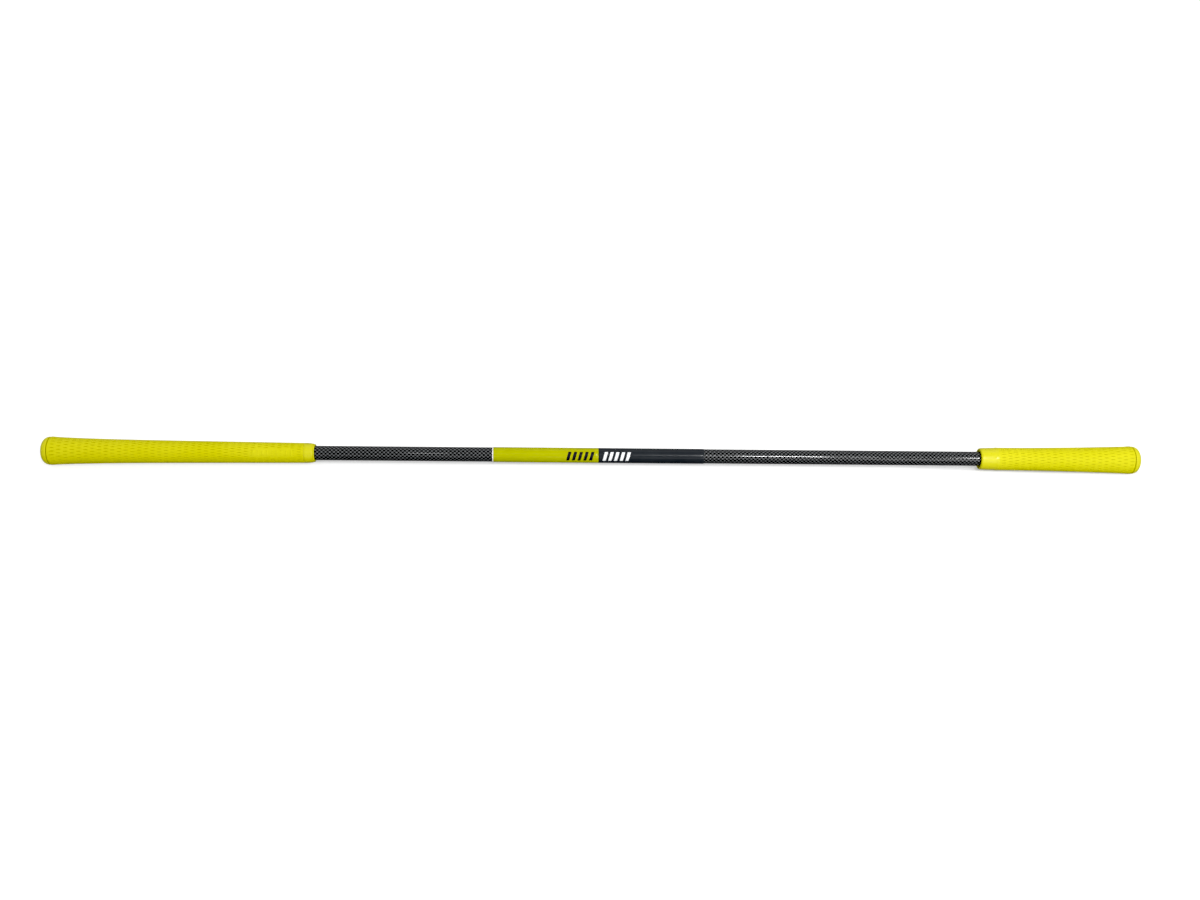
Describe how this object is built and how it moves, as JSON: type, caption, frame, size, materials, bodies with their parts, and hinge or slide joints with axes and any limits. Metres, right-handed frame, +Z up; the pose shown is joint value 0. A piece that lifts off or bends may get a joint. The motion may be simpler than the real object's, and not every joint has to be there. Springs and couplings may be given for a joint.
{
  "type": "swing trainer stick",
  "caption": "Straight woven-carbon training stick with a long tapered rubber grip on its -X end, a short rubber grip on its +X end and a coloured label band round its middle.",
  "frame": {"origin": "on the stick's axis, half way between the end caps", "axes": "+X along the stick from the long grip to the short grip, +Z up; the label's marks face -Y and +Z"},
  "size_m": [1.0964, 0.0276, 0.0276],
  "materials": {
    "woven_carbon": "gloss",
    "yellow_rubber": "satin",
    "grip_tape": "matte",
    "black_plastic": "matte",
    "steel": "satin",
    "black_rubber": "matte",
    "white_film": "gloss",
    "yellow_film": "gloss",
    "black_film": "gloss",
    "black_print": "satin",
    "white_print": "satin"
  },
  "bodies": {
    "root": {"shaft_tube": "woven_carbon", "long_grip_sleeve": "yellow_rubber", "long_grip_cap": "yellow_rubber", "long_grip_tape": "grip_tape", "long_end_plug": "black_plastic", "short_grip_sleeve": "yellow_rubber", "short_grip_cap": "yellow_rubber", "short_grip_tape": "grip_tape", "short_end_plug": "black_plastic", "swing_weight": "steel", "weight_stop": "black_rubber", "label_white_edge": "white_film", "label_yellow_band": "yellow_film", "label_black_band": "black_film", "label_dark_marks": "black_print", "label_light_marks": "white_print"}
  },
  "joints": []
}
